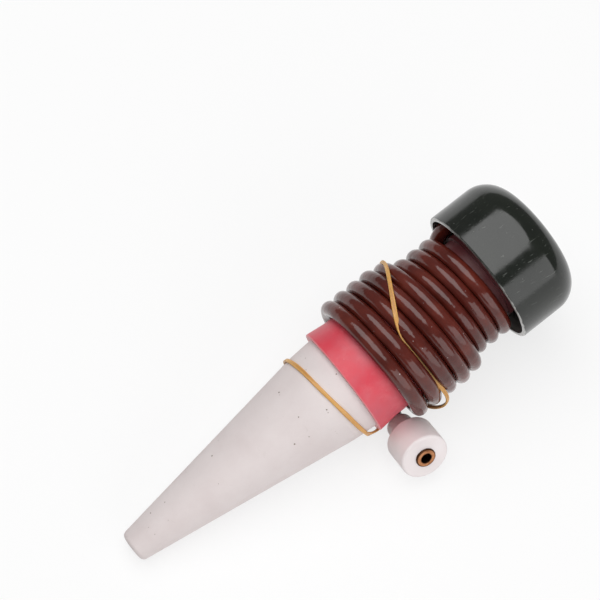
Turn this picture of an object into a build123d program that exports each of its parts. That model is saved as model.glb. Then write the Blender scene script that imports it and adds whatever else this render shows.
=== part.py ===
from build123d import *

import math
import os

# Self watering spike, millimetres. Everything is built in the spike's own frame first: the axis
# runs along +X from the tip of the cone to the top of the cap, and angles round it are counted
# from +Y towards +Z. The finished spike is then laid down as it lies on a table: on its tip,
# on the winding's first turn and on the weight beside it.

# Ceramic cone
cone_tip_radius = 5.0
cone_tip_rounding = 1.6
cone_taper_length = 73.0
cone_shoulder_radius = 15.8
cone_shoulder_length = 7.5
cone_rim_flare = 0.5
cone_spigot_length = 15.5
cone_wall = 3.6
cone_tip_wall = 7.0
cone_tip_bore_radius = 2.4

# Soft sleeve and neck
sleeve_wall = 1.35
sleeve_lip_flare = 0.7
sleeve_lip_length = 6.5
sleeve_length = 23.5
sleeve_taper_length = 9.0
shoulder_wall = 4.4
neck_radius = 14.0
neck_wall = 2.6
neck_length = 20.6
flange_width = 1.0
flange_thickness = 3.4
flange_rounding = 0.5
lip_rounding = 0.4
cone_fit_clearance = 0.05

# Hose
hose_diameter = 4.6
hose_wall = 0.8
wind_turns = 8.14
resting_quarters = 4
wind_start_deg = -95.0
wind_lead = 0.4
wind_clearance = 0.3
wind_turn_gap = 0.43
wind_step_lead = 2.1
wind_step_length = 7.0
wind_sag = 0.9
wind_sag_spread = 3.5
wind_sag_deg = 200.0
riser_side_gap = 1.1
riser_headroom = 1.5
riser_lead_deg = 65.6
riser_out_share = 0.9
tail_stem_share = 0.18
tail_wind_share = 0.6
arc_share = 0.45

# Stopper, seal and nipple in the neck's mouth
seal_thickness = 0.8
stopper_head_inset = 2.0
stopper_head_thickness = 2.0
stopper_plug_length = 8.0
plug_fit_clearance = 0.05
nipple_bore_radius = 0.8
nipple_wall = 0.65
nipple_collar_width = 1.15
nipple_collar_thickness = 1.2
nipple_barb_length = 4.2
nipple_tail_length = 1.5
nipple_fit_clearance = 0.03

# Cap
cap_radius = 23.0
cap_rim_overlap = 0.6
cap_height = 24.3
cap_wall = 1.4
cap_corner_radius = 9.0
cap_dome_radius = 90.0
cap_rim_rounding = 0.5
cap_socket_wall = 1.6
cap_socket_clearance = 0.05
cap_seat_gap = 0.1
cap_slot_clearance = 0.9

# Weight and its ferrule
weight_head_radius = 7.75
weight_head_length = 10.9
weight_head_rounding = 0.8
weight_stem_radius = 4.7
weight_stem_end_radius = 4.2
weight_stem_length = 7.6
weight_stem_rounding = 1.4
weight_bore_clearance = 0.05
weight_grip_length = 7.0
weight_passage_radius = 2.0
weight_lead = 6.4
weight_stand_off = 3.9
weight_tilt_deg = 28.5
weight_yaw_deg = 9.4
ferrule_bore_radius = 1.75
ferrule_wall = 0.85
ferrule_flange_width = 0.65
ferrule_flange_thickness = 0.7
ferrule_barrel_length = 5.0
ferrule_fit_clearance = 0.05

# Rubber bands
band_thickness = 1.1
band_clearance = 0.15
band_stand_off = 0.5
hook_along = 2.9
hook_across_share = 0.2
hook_corner_share = 0.75
hook_under_share = 0.995
hook_under_across_share = 0.8
hook_under_corner_share = 0.86

# Lying on a table, and working values
floor_gap = 0.05
cut_overrun = 1.0
match_tolerance = 0.05
gap_steps_a_turn = 120

# Derived sizes
cone_bare_length = cone_taper_length + cone_shoulder_length
cone_length = cone_bare_length + cone_spigot_length
cone_rim_radius = cone_shoulder_radius + cone_rim_flare
sleeve_radius = cone_rim_radius + cone_fit_clearance + sleeve_wall
sleeve_lip_radius = sleeve_radius + sleeve_lip_flare
sleeve_taper_start = cone_bare_length + sleeve_length
sleeve_taper_end = sleeve_taper_start + sleeve_taper_length
flange_start = sleeve_taper_end + neck_length
flange_radius = neck_radius + flange_width
neck_end = flange_start + flange_thickness
neck_bore_radius = neck_radius - neck_wall
hose_radius = hose_diameter / 2
hose_bore_radius = hose_radius - hose_wall
wind_pitch = hose_diameter + wind_turn_gap
wind_start_x = cone_bare_length + sleeve_lip_length + hose_radius + wind_lead
wind_radius = sleeve_radius + hose_radius + wind_clearance
wind_neck_radius = neck_radius + hose_radius + wind_clearance
wind_end_x = wind_start_x + wind_pitch * wind_turns
wind_quarters = math.ceil(4 * wind_turns)
cap_rim_x = flange_start - cap_rim_overlap
cap_top_x = cap_rim_x + cap_height
riser_radius = cap_radius - cap_wall - riser_side_gap - hose_radius
riser_top_x = cap_top_x - cap_wall - riser_headroom - hose_radius
riser_deg = wind_start_deg + 360 * wind_turns + riser_lead_deg
stopper_seat = neck_end + seal_thickness
stopper_top = stopper_seat + stopper_head_thickness
stopper_head_radius = flange_radius - stopper_head_inset
socket_radius = stopper_head_radius + cap_socket_clearance
nipple_radius = nipple_bore_radius + nipple_wall
nipple_collar_radius = nipple_radius + nipple_collar_width
hose_end_x = stopper_top + nipple_collar_thickness
ferrule_barrel_radius = ferrule_bore_radius + ferrule_wall
ferrule_flange_radius = ferrule_barrel_radius + ferrule_flange_width


def around(x, radius, degrees):
    """A point at a radius and an angle round the spike's axis."""
    turn = math.radians(degrees)
    return Vector(x, radius * math.cos(turn), radius * math.sin(turn))


def turned(*outline):
    """A solid of revolution round X from a closed outline of (x, radius) points."""
    return revolve(make_face(Polyline(*outline, close=True)), axis=Axis.X)


def ring_edges(solid, x, radius):
    """The round edges of a turned solid that lie at one x and one radius."""
    return [edge for edge in solid.edges().filter_by(GeomType.CIRCLE)
            if abs(edge.arc_center.X - x) < match_tolerance and abs(edge.radius - radius) < match_tolerance]


def ceramic_cone():
    outer = turned((0, 0), (0, cone_tip_radius), (cone_taper_length, cone_shoulder_radius),
                   (cone_bare_length, cone_rim_radius), (cone_length, cone_rim_radius), (cone_length, 0))
    outer = fillet(ring_edges(outer, 0, cone_tip_radius), cone_tip_rounding)
    rim_bore = cone_rim_radius - cone_wall
    hollow = turned((cone_tip_wall, 0), (cone_tip_wall, cone_tip_bore_radius),
                    (cone_taper_length, cone_shoulder_radius - cone_wall), (cone_bare_length, rim_bore),
                    (cone_length + cut_overrun, rim_bore), (cone_length + cut_overrun, 0))
    return outer - hollow


def neck_sleeve():
    outer = turned((cone_bare_length, 0), (cone_bare_length, sleeve_lip_radius),
                   (cone_bare_length + sleeve_lip_length, sleeve_radius), (sleeve_taper_start, sleeve_radius),
                   (sleeve_taper_end, neck_radius), (flange_start, neck_radius),
                   (flange_start, flange_radius), (neck_end, flange_radius), (neck_end, 0))
    outer = fillet(ring_edges(outer, cone_bare_length, sleeve_lip_radius), lip_rounding)
    outer = fillet(ring_edges(outer, neck_end, flange_radius), flange_rounding)
    socket = cone_rim_radius + cone_fit_clearance
    shoulder_bore = sleeve_radius - shoulder_wall
    hollow = turned((cone_bare_length - cut_overrun, 0), (cone_bare_length - cut_overrun, socket),
                    (cone_length, socket), (cone_length, shoulder_bore), (sleeve_taper_start, shoulder_bore),
                    (sleeve_taper_end, neck_bore_radius), (neck_end + cut_overrun, neck_bore_radius),
                    (neck_end + cut_overrun, 0))
    return outer - hollow


def neck_seal():
    return turned((neck_end, neck_bore_radius), (neck_end, stopper_head_radius),
                  (stopper_seat, stopper_head_radius), (stopper_seat, neck_bore_radius))


def neck_stopper():
    plug_radius = neck_bore_radius - plug_fit_clearance
    hole = nipple_radius + nipple_fit_clearance
    plug_start = stopper_seat - stopper_plug_length
    return turned((plug_start, hole), (plug_start, plug_radius), (stopper_seat, plug_radius),
                  (stopper_seat, stopper_head_radius), (stopper_top, stopper_head_radius),
                  (stopper_top, hole))


def hose_nipple():
    foot = stopper_seat - stopper_plug_length - nipple_tail_length
    return turned((foot, nipple_bore_radius), (foot, nipple_radius), (stopper_top, nipple_radius),
                  (stopper_top, nipple_collar_radius), (hose_end_x, nipple_collar_radius),
                  (hose_end_x, nipple_radius), (hose_end_x + nipple_barb_length, nipple_radius),
                  (hose_end_x + nipple_barb_length, nipple_bore_radius))


def dome_solid(radius, corner, dome, top, rim):
    """A closed dome: a cylinder from the rim, a round corner and a shallow spherical top."""
    dome_centre = top - dome
    corner_x = dome_centre + math.sqrt((dome - corner) ** 2 - (radius - corner) ** 2)
    lean = math.atan2(radius - corner, corner_x - dome_centre)
    halfway = (lean + math.pi / 2) / 2
    join = (dome_centre + dome * math.cos(lean), dome * math.sin(lean))
    corner_mid = (corner_x + corner * math.cos(halfway), radius - corner + corner * math.sin(halfway))
    dome_mid = (dome_centre + dome * math.cos(lean / 2), dome * math.sin(lean / 2))
    outline = Wire([Line((rim, 0), (rim, radius)), Line((rim, radius), (corner_x, radius)),
                    ThreePointArc((corner_x, radius), corner_mid, join),
                    ThreePointArc(join, dome_mid, (top, 0)), Line((top, 0), (rim, 0))])
    return revolve(make_face(outline), axis=Axis.X)


def cap_shell():
    """The domed shell, with a slotted socket inside that pushes over the stopper's head."""
    outer = dome_solid(cap_radius, cap_corner_radius, cap_dome_radius, cap_top_x, cap_rim_x)
    outer = fillet(ring_edges(outer, cap_rim_x, cap_radius), cap_rim_rounding)
    inner = dome_solid(cap_radius - cap_wall, cap_corner_radius - cap_wall, cap_dome_radius - cap_wall,
                       cap_top_x - cap_wall, cap_rim_x - cut_overrun)
    socket_end = neck_end + cap_seat_gap
    socket_top = cap_top_x - cap_wall / 2
    socket = turned((socket_end, socket_radius), (socket_end, socket_radius + cap_socket_wall),
                    (socket_top, socket_radius + cap_socket_wall), (socket_top, socket_radius))
    slot_length = socket_top - socket_end + cut_overrun
    slot_width = hose_diameter + 2 * cap_slot_clearance
    slot = Box(slot_length, cap_radius, slot_width, align=(Align.MAX, Align.MIN, Align.CENTER))
    slot = Pos(cap_top_x - cap_wall, 0, 0) * slot
    socket -= Rot(X=riser_deg) * slot
    shell = outer - inner
    return (shell + (socket & outer)).solids()[0]


def smooth_step(share):
    """0 below 0, 1 above 1 and a smooth rise between, with its slope."""
    share = min(max(share, 0), 1)
    return share * share * (3 - 2 * share), 6 * share * (1 - share)


def wind_centre(turn):
    """The hose's centre after so many turns, and the unit direction in which it runs there.

    The winding climbs at a steady pitch. It steps in from the sleeve to the neck over a turn or so,
    and its loose turn at the end of the sleeve's taper sags to one side.
    """
    degrees = wind_start_deg + 360 * turn
    x = wind_start_x + wind_pitch * turn
    step, step_slope = smooth_step((x - sleeve_taper_end + wind_step_lead) / wind_step_length)
    step_in = wind_neck_radius - wind_radius
    offset = (x - sleeve_taper_end) / wind_sag_spread
    sag = wind_sag * math.exp(-offset * offset)
    lean = math.radians(degrees - wind_sag_deg)
    radius = wind_radius + step_in * step + sag * math.cos(lean)
    slope_along = step_in * step_slope / wind_step_length
    slope_along -= 2 * offset / wind_sag_spread * sag * math.cos(lean)
    radius_slope = wind_pitch * slope_along - 2 * math.pi * sag * math.sin(lean)
    out = around(0, 1, degrees)
    along = around(0, 1, degrees + 90)
    direction = out * radius_slope + along * (2 * math.pi * radius) + Vector(wind_pitch, 0, 0)
    return around(x, radius, degrees), direction.normalized()


def biarc(start, start_direction, end, end_direction):
    """Two arcs that leave one point and reach another in the given directions."""
    chord = end - start
    both = start_direction + end_direction
    spread = 2 * (1 - start_direction.dot(end_direction))
    reach = (math.sqrt(chord.dot(both) ** 2 + spread * chord.dot(chord)) - chord.dot(both)) / spread
    middle = (start + end + (start_direction - end_direction) * reach) / 2
    middle_direction = (end - end_direction * reach) - (start + start_direction * reach)
    return [TangentArc(start, middle, tangent=start_direction),
            TangentArc(middle, end, tangent=middle_direction.normalized())]


def wind_path(start_quarter, end_quarter):
    """A stretch of the winding's line: biarcs of a quarter turn, and straight runs at its own two ends."""
    knots = [wind_centre(wind_turns * knot / wind_quarters) for knot in range(start_quarter, end_quarter + 1)]
    first, first_direction = knots[0]
    last, last_direction = knots[-1]
    edges = []
    if start_quarter == 0:
        edges.append(Line(first - first_direction * hose_diameter, first))
    for (start, start_direction), (end, end_direction) in zip(knots, knots[1:]):
        edges += biarc(start, start_direction, end, end_direction)
    if end_quarter == wind_quarters:
        edges.append(Line(last, last + last_direction * hose_diameter))
    return Wire(edges)


def tube(path, outer, inner=0):
    """A round tube, or a round cord, swept along a path."""
    section = Plane(path @ 0, z_dir=path % 0) * Circle(outer)
    if inner:
        section -= Plane(path @ 0, z_dir=path % 0) * Circle(inner)
    solid = sweep(section, path=path).solids()[0]
    area = math.pi * (outer ** 2 - inner ** 2)
    print(f"tube length {path.length:.1f}, volume over section times length "
          f"{solid.volume / (area * path.length):.4f}")
    return solid


def soft_path(points):
    """Straight runs joined by arcs, each as large as its two runs allow."""
    radii = []
    for before, corner, after in zip(points, points[1:], points[2:]):
        half_turn = math.radians((corner - before).get_angle(after - corner)) / 2
        run = min((corner - before).length, (after - corner).length)
        radii.append(arc_share * run / math.tan(half_turn))
    print("radii", [round(radius, 1) for radius in radii])
    return FilletPolyline(*points, radius=radii)


def winding_gap():
    """The least gap between neighbouring turns, measured on points."""
    count = math.floor(gap_steps_a_turn * wind_turns)
    points = [wind_centre(wind_turns * step / count)[0] for step in range(count + 1)]
    near = gap_steps_a_turn // 10
    pairs = [(point, other) for index, point in enumerate(points)
             for other in points[index + gap_steps_a_turn - near:index + gap_steps_a_turn + near]]
    return min((other - point).length for point, other in pairs) - hose_diameter


# The lying posture: the tip's rounded corner and the winding's first turn both touch the table.
flank = math.atan2(cone_shoulder_radius - cone_tip_radius, cone_taper_length)
tip_round_radius = cone_tip_radius + cone_tip_rounding * math.tan(flank) - cone_tip_rounding / math.cos(flank)
contact_x = wind_start_x - cone_tip_rounding
contact_fall = tip_round_radius - wind_radius
contact_rise = hose_radius + floor_gap - cone_tip_rounding
slope = math.asin(contact_rise / math.hypot(contact_x, contact_fall)) - math.atan2(contact_fall, contact_x)
tip_height = tip_round_radius * math.cos(slope) + cone_tip_rounding * (1 - math.sin(slope))
lay_down = Pos(0, 0, tip_height) * Rot(Y=-math.degrees(slope))

# The weight lies beside the sleeve, on its head's rounded back corner or its stem's rounded end.
tilt = math.radians(weight_tilt_deg)
yaw = math.radians(weight_yaw_deg)
weight_axis_lying = Vector(-math.cos(tilt) * math.sin(yaw), -math.cos(tilt) * math.cos(yaw), math.sin(tilt))
head_reach = (weight_head_radius - weight_head_rounding) * math.cos(tilt) + weight_head_rounding
head_reach -= weight_head_rounding * math.sin(tilt)
stem_flank = math.atan2(weight_stem_radius - weight_stem_end_radius, weight_stem_length)
stem_corner_radius = weight_stem_end_radius + weight_stem_rounding * math.tan(stem_flank)
stem_corner_radius -= weight_stem_rounding / math.cos(stem_flank)
stem_reach = stem_corner_radius * math.cos(tilt) + weight_stem_rounding
stem_reach += (weight_stem_length - weight_stem_rounding) * math.sin(tilt)
weight_back_height = floor_gap + max(head_reach, stem_reach)
weight_back_rise = (weight_back_height - tip_height) * math.sin(slope)
weight_side = sleeve_lip_radius + weight_stand_off
weight_x = (cone_bare_length + weight_lead - weight_back_rise) / math.cos(slope)
weight_back_lying = Vector(weight_x, -weight_side, weight_back_height)
weight_back = (lay_down.inverse() * Pos(weight_back_lying)).position
weight_axis = (lay_down.inverse() * Pos(weight_back_lying + weight_axis_lying)).position - weight_back
weight_frame = Plane(weight_back, z_dir=weight_axis)
stem_end = weight_back - weight_axis * weight_stem_length


def rod(start, radius, length):
    """A round rod on the weight's own axis."""
    return Pos(Z=start) * Cylinder(radius, length, align=(Align.CENTER, Align.CENTER, Align.MIN))


def weight_body():
    """A stepped round weight: tapered stem, wide head, and a bore for the hose and the ferrule."""
    stem_start = -weight_stem_length
    outline = Polyline((0, stem_start), (weight_stem_end_radius, stem_start), (weight_stem_radius, 0),
                       (weight_head_radius, 0), (weight_head_radius, weight_head_length),
                       (0, weight_head_length), close=True)
    solid = revolve(Plane.XZ * make_face(outline), axis=Axis.Z)
    rims = solid.edges().filter_by(GeomType.CIRCLE)
    head_rims = [edge for edge in rims if edge.radius > weight_head_radius - match_tolerance]
    solid = fillet(head_rims, weight_head_rounding)
    end_rim = solid.edges().filter_by(GeomType.CIRCLE).sort_by(Axis.Z)[0]
    solid = fillet(end_rim, weight_stem_rounding)
    grip_radius = hose_radius + weight_bore_clearance
    seat_radius = ferrule_barrel_radius + ferrule_fit_clearance
    seat_start = weight_head_length - ferrule_barrel_length
    hose_hole = rod(stem_start - cut_overrun, grip_radius, weight_grip_length + cut_overrun)
    passage = rod(stem_start, weight_passage_radius, weight_head_length + weight_stem_length)
    ferrule_hole = rod(seat_start, seat_radius, ferrule_barrel_length + cut_overrun)
    return weight_frame * (solid - hose_hole - passage - ferrule_hole)


def weight_ferrule():
    """A flanged eyelet pressed into the head's end face."""
    face = weight_head_length
    inner_end = face - ferrule_barrel_length
    outer_end = face + ferrule_flange_thickness
    outline = Polyline((ferrule_bore_radius, inner_end), (ferrule_barrel_radius, inner_end),
                       (ferrule_barrel_radius, face), (ferrule_flange_radius, face),
                       (ferrule_flange_radius, outer_end), (ferrule_bore_radius, outer_end), close=True)
    solid = revolve(Plane.XZ * make_face(outline), axis=Axis.Z)
    top_rims = solid.edges().filter_by(GeomType.CIRCLE).sort_by(Axis.Z)[-2:]
    solid = fillet(top_rims.sort_by(SortBy.RADIUS)[-1], ferrule_flange_thickness / 2)
    return weight_frame * solid


def hose_riser():
    """The hose turns up into the cap beside the neck and comes down on the nipple."""
    last, direction = wind_centre(wind_turns)
    start = last + direction * hose_diameter
    climb = riser_top_x - wind_end_x
    climb_shares = [0.08, 0.22, 0.42, 1.0]
    lead_shares = [0.69, 0.89, 1.0, 1.0]
    route = [start, start + direction * hose_diameter * riser_out_share]
    for climb_share, lead_share in zip(climb_shares, lead_shares):
        degrees = riser_deg - riser_lead_deg * (1 - lead_share)
        route.append(around(wind_end_x + climb * climb_share, riser_radius, degrees))
    route += [Vector(riser_top_x, 0, 0), Vector(hose_end_x, 0, 0)]
    return tube(soft_path(route), hose_radius, hose_bore_radius)


def hose_tail():
    """The hose runs from the winding's first turn into the weight's stem."""
    first, direction = wind_centre(0)
    end = first - direction * hose_diameter
    start = stem_end + weight_axis * weight_grip_length
    route = [start, stem_end - weight_axis * weight_stem_length * tail_stem_share,
             end - direction * hose_diameter * tail_wind_share, end]
    return tube(soft_path(route), hose_radius, hose_bore_radius)


def hose_first_turn():
    """The turn that touches the table, cut square from the rest of the winding."""
    return tube(wind_path(0, resting_quarters), hose_radius, hose_bore_radius)


def hose_coil():
    return tube(wind_path(resting_quarters, wind_quarters), hose_radius, hose_bore_radius)


def band_loop(points):
    """A closed rubber band through points, in two halves that meet in the middle of two straight runs."""
    half = len(points) // 2
    seam = (points[-1] + points[0]) / 2
    far_seam = (points[half - 1] + points[half]) / 2
    near_side = tube(soft_path([seam, *points[:half], far_seam]), band_thickness / 2)
    far_side = tube(soft_path([far_seam, *points[half:], seam]), band_thickness / 2)
    return (near_side + far_side).solids()[0]


def coil_band():
    """The band slants over the winding's loose turn and lies along a groove on the other side."""
    over = wind_radius + hose_radius + band_thickness / 2 + band_clearance
    pitch_shares = [4.6, 4.2, 3.4, 2.4, 2.3, 2.5, 2.6, 2.0, 2.0, 2.6, 3.5, 4.3]
    radius_shares = [1.0, 1.03, 1.05, 1.04, 1.04, 1.05, 1.06, 1.06, 1.04, 1.04, 1.04, 1.03]
    degrees = [20, 47, 74, 103, 134, 164, 194, 224, 254, 284, 314, 344]
    return band_loop([around(wind_start_x + wind_pitch * pitch_share, over * radius_share, angle)
                      for pitch_share, radius_share, angle in zip(pitch_shares, radius_shares, degrees)])


def cone_band():
    """The band goes round the cone just below the sleeve and hooks round the weight's stem."""
    over = cone_rim_radius + band_thickness / 2 + band_stand_off
    lip = sleeve_lip_radius + band_thickness / 2 + 2 * band_clearance
    reach = weight_stem_radius + band_thickness / 2 + 2 * band_clearance
    hook = weight_back - weight_axis * hook_along
    across = Vector(reach, 0, 0)
    upward = weight_axis.cross(across).normalized() * reach
    near_shares = [-0.33, -0.21, -0.11, 0.07, 0.21, 0.36]
    near_degrees = [20, 50, 80, 110, 140, 168]
    far_shares = [0.3, 0.0, -0.22, -0.34]
    far_degrees = [266, 294, 322, 351]
    near_side = [around(cone_taper_length + cone_shoulder_length * share, over, angle)
                 for share, angle in zip(near_shares, near_degrees)]
    far_side = [around(cone_taper_length + cone_shoulder_length * share, over, angle)
                for share, angle in zip(far_shares, far_degrees)]
    to_stem_shares = [0.57, 0.95, 0.73]
    to_stem_degrees = [194, 208, 240]
    to_stem_radii = [over, lip, lip]
    before, beside, after = [around(cone_taper_length + cone_shoulder_length * share, radius, angle)
                             for share, radius, angle in zip(to_stem_shares, to_stem_radii, to_stem_degrees)]
    round_stem = [hook + upward - across * hook_across_share, hook + upward * hook_corner_share + across,
                  hook - upward * hook_under_corner_share + across,
                  hook - upward * hook_under_share - across * hook_under_across_share]
    return band_loop(near_side + [before, beside] + round_stem + [after] + far_side)


pieces = {
    "ceramic_cone": ceramic_cone(),
    "neck_sleeve": neck_sleeve(),
    "neck_seal": neck_seal(),
    "neck_stopper": neck_stopper(),
    "hose_nipple": hose_nipple(),
    "cap_shell": cap_shell(),
    "hose_first_turn": hose_first_turn(),
    "hose_coil": hose_coil(),
    "hose_riser": hose_riser(),
    "hose_tail": hose_tail(),
    "weight_body": weight_body(),
    "weight_ferrule": weight_ferrule(),
    "coil_band": coil_band(),
    "cone_band": cone_band(),
}

cord_pieces = ["hose_first_turn", "hose_coil", "hose_riser", "hose_tail", "weight_body", "weight_ferrule",
               "coil_band"]
lying = {name: lay_down * piece for name, piece in pieces.items()}
own = Compound([piece for name, piece in lying.items() if name not in cord_pieces]).bounding_box()
to_origin = Pos(-own.center().X, -own.center().Y, -own.min.Z)

os.makedirs("parts", exist_ok=True)
for name, piece in lying.items():
    placed = to_origin * piece
    placed.label = name
    export_step(placed, f"parts/{name}.step")
print(f"slope {math.degrees(slope):.2f} degrees, winding gap to itself {winding_gap():.3f} mm")
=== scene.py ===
# %% [markdown]
# # A self watering spike
# The spike is a hollow cone of fired clay that goes into the soil. A red sleeve grips its wide end and
# carries on as a neck, a thin brown hose is wound round that neck, and a domed cap covers its mouth.
# The hose ends in a small ceramic weight, which sinks to the bottom of a water jar. The construction
# comes in as fixed parts with real sizes. This lesson gives them their looks: first the picture's
# setting, then the hose and the bands, then each finish.

# %% Load the construction
import math

import bpy
import numpy as np
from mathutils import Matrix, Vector


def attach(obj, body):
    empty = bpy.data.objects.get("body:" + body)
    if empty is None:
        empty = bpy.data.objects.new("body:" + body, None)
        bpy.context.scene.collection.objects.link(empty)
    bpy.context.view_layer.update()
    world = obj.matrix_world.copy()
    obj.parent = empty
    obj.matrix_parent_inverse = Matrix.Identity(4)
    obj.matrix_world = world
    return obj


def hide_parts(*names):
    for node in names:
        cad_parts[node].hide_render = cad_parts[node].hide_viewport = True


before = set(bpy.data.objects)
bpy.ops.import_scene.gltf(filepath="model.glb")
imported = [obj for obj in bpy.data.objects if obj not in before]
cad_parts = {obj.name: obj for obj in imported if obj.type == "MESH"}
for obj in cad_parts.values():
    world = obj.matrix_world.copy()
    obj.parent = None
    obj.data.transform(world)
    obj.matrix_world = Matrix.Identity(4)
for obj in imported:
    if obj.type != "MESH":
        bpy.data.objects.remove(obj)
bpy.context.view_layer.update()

print("nodes", sorted(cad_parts))

# %% [markdown]
# The spike lies on its tip, on its wound hose and on the weight, so its own axis climbs a little from
# the table. It is easier to think along that axis, in millimetres, with angles counted round it. One
# small function turns such points to the table's frame, and every shape below goes through it.

# %% Along the spike's own axis
SLOPE = math.radians(11.2006)
TIP_PLACE = np.array([-0.0776327, 0.0, 0.0048396])
SPIKE_AXIS = Vector((math.cos(SLOPE), 0, math.sin(SLOPE)))


def in_row(points):
    """Spike millimetres to row metres: turned about Y by the slope, then moved to the tip's place."""
    x, y, z = np.atleast_2d(points).T / 1000
    turned = [x * math.cos(SLOPE) - z * math.sin(SLOPE), y, x * math.sin(SLOPE) + z * math.cos(SLOPE)]
    return np.stack(turned, axis=1) + TIP_PLACE


def around(x, radius, degrees):
    """Points at radii and angles round the spike's axis: (x, r cos a, r sin a)."""
    turn = np.radians(degrees)
    return np.stack(np.broadcast_arrays(x, radius * np.cos(turn), radius * np.sin(turn)), axis=-1)


print("axis", tuple(round(v, 4) for v in SPIKE_AXIS), "climbs", round(math.degrees(SLOPE), 1), "degrees")

# %% [markdown]
# ## The camera
# The picture looks down at the spike from in front of its tip, a little to the weight's side. A long
# lens keeps the perspective weak. The camera's place was found from lengths that can be read in the
# picture: the cone's taper, the collar's ellipse and the cap's width.

# %% Camera
CAMERA_PLACE = (-0.12213, -0.1442, 0.4704)
CAMERA_LOOK = Vector((0.2597, 0.3491, -0.9003))
LENS_MM, SENSOR_MM = 96, 36

camera_data = bpy.data.cameras.new("portrait_camera")
camera_data.lens = LENS_MM
camera_data.sensor_width = SENSOR_MM
camera = bpy.data.objects.new("portrait_camera", camera_data)
bpy.context.scene.collection.objects.link(camera)
camera.location = CAMERA_PLACE
camera.rotation_euler = CAMERA_LOOK.to_track_quat("-Z", "Y").to_euler()
bpy.context.scene.camera = camera
bpy.context.scene.view_settings.view_transform = "Standard"
print("camera", tuple(round(v, 4) for v in camera.location), "lens", camera_data.lens)

# %% [markdown]
# ## One colour function and one node function
# Colours are chosen as sRGB hex values, the way a colour picker reads them off a picture. Shaders work
# in linear light, so one function converts them. Every material below is a small graph of nodes, and
# one function adds a node with its settings and its links.

# %% Colour and node helpers
def linear(code):
    """sRGB hex to linear RGBA: c / 12.92 near black, ((c + 0.055) / 1.055) ** 2.4 above."""
    srgb = np.array([int(code[i:i + 2], 16) for i in (1, 3, 5)]) / 255
    values = np.where(srgb <= 0.04045, srgb / 12.92, ((srgb + 0.055) / 1.055) ** 2.4)
    return (*values.tolist(), 1.0)


def add(tree, kind, inputs=None, stops=None, **settings):
    """Adds a node, sets its properties and its colour stops, and fills its inputs with values or links."""
    node = tree.nodes.new(kind)
    for name, value in settings.items():
        setattr(node, name, value)
    if stops:
        marks = node.color_ramp.elements
        marks.remove(marks[1])
        marks[0].position, marks[0].color = stops[0][0], linear(stops[0][1])
        for position, code in stops[1:]:
            marks.new(position).color = linear(code)
    for name, value in (inputs or {}).items():
        socket = node.inputs[name]
        if isinstance(value, bpy.types.NodeSocket):
            tree.links.new(value, socket)
        else:
            socket.default_value = value
    return node


def finish_named(name):
    """A new material with an empty graph, and the object's own coordinates to lay its patterns by."""
    material = bpy.data.materials.new(name)
    material.use_nodes = True
    material.node_tree.nodes.clear()
    place = add(material.node_tree, "ShaderNodeTexCoord").outputs["Object"]
    return material, material.node_tree, place


def per(millimetres):
    """The pattern scale for features of a real size, because patterns count features in a metre."""
    return 1000 / millimetres


print("middle grey in linear light", round(linear("#808080")[0], 3))

# %% [markdown]
# ## Table, lamps and background
# The picture was taken on white. A big lamp hangs over the table and a second one stands low in front,
# on the weight's side: their mirror images are the two grey patches on the glossy cap and the two rows
# of highlights on the hose. The table is diffuse white. A camera or mirror ray gets part of its white
# as plain light, so that the background is white while the soft shadow stays.

# %% Table and lamps
TABLE_HALF = 3.0
GLOW_SHARE = 0.74
WORLD_STRENGTH = 0.18


def white_table():
    material, tree, _ = finish_named("white_table")
    path = add(tree, "ShaderNodeLightPath")
    seen = add(tree, "ShaderNodeMath",
               {0: path.outputs["Is Camera Ray"], 1: path.outputs["Is Glossy Ray"]}, operation="MAXIMUM")
    seen = add(tree, "ShaderNodeMath", {0: seen.outputs[0], 1: path.outputs["Is Transmission Ray"]},
               operation="MAXIMUM")
    matt = add(tree, "ShaderNodeBsdfDiffuse", {"Color": linear("#F4F4F4")})
    glow = add(tree, "ShaderNodeEmission", {"Color": (1, 1, 1, 1), "Strength": 1.0})
    share = add(tree, "ShaderNodeMath", {0: seen.outputs[0], 1: GLOW_SHARE}, operation="MULTIPLY")
    mixed = add(tree, "ShaderNodeMixShader",
                {0: share.outputs[0], 1: matt.outputs[0], 2: glow.outputs[0]})
    add(tree, "ShaderNodeOutputMaterial", {"Surface": mixed.outputs[0]})
    return material


table_mesh = bpy.data.meshes.new("table")
table_corners = [(TABLE_HALF * x, TABLE_HALF * y, 0) for x, y in ((-1, -1), (1, -1), (1, 1), (-1, 1))]
table_mesh.from_pydata(table_corners, [], [(0, 1, 2, 3)])
table = bpy.data.objects.new("table", table_mesh)
bpy.context.scene.collection.objects.link(table)
table_mesh.materials.append(white_table())


def softbox(name, place, aim, size, watts, shape="RECTANGLE"):
    """A flat lamp at a place, turned to shine on a point. Its radiance is watts / (pi * its area)."""
    light = bpy.data.lights.new(name, "AREA")
    light.shape = shape
    light.size, light.size_y = size
    light.energy = watts
    lamp = bpy.data.objects.new(name, light)
    bpy.context.scene.collection.objects.link(lamp)
    lamp.location = place
    lamp.rotation_euler = (Vector(aim) - Vector(place)).to_track_quat("-Z", "Y").to_euler()
    area = size[0] * size[1] * (math.pi / 4 if shape == "ELLIPSE" else 1)
    print(name, "radiance", round(watts / (math.pi * area), 2))


softbox("overhead_softbox", place=(-0.03, 0.13, 0.85), aim=(-0.03, 0.0, 0.02), size=(0.9, 1.35),
        watts=7.6, shape="ELLIPSE")
softbox("side_softbox", place=(0.05, -0.85, 0.33), aim=(0.02, 0.0, 0.02), size=(1.2, 0.62), watts=4.0)

world = bpy.data.worlds.new("studio")
bpy.context.scene.world = world
world.use_nodes = True
world.node_tree.nodes.clear()
sky = add(world.node_tree, "ShaderNodeBackground", {"Color": (1, 1, 1, 1), "Strength": WORLD_STRENGTH})
add(world.node_tree, "ShaderNodeOutputWorld", {"Surface": sky.outputs[0]})

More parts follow.
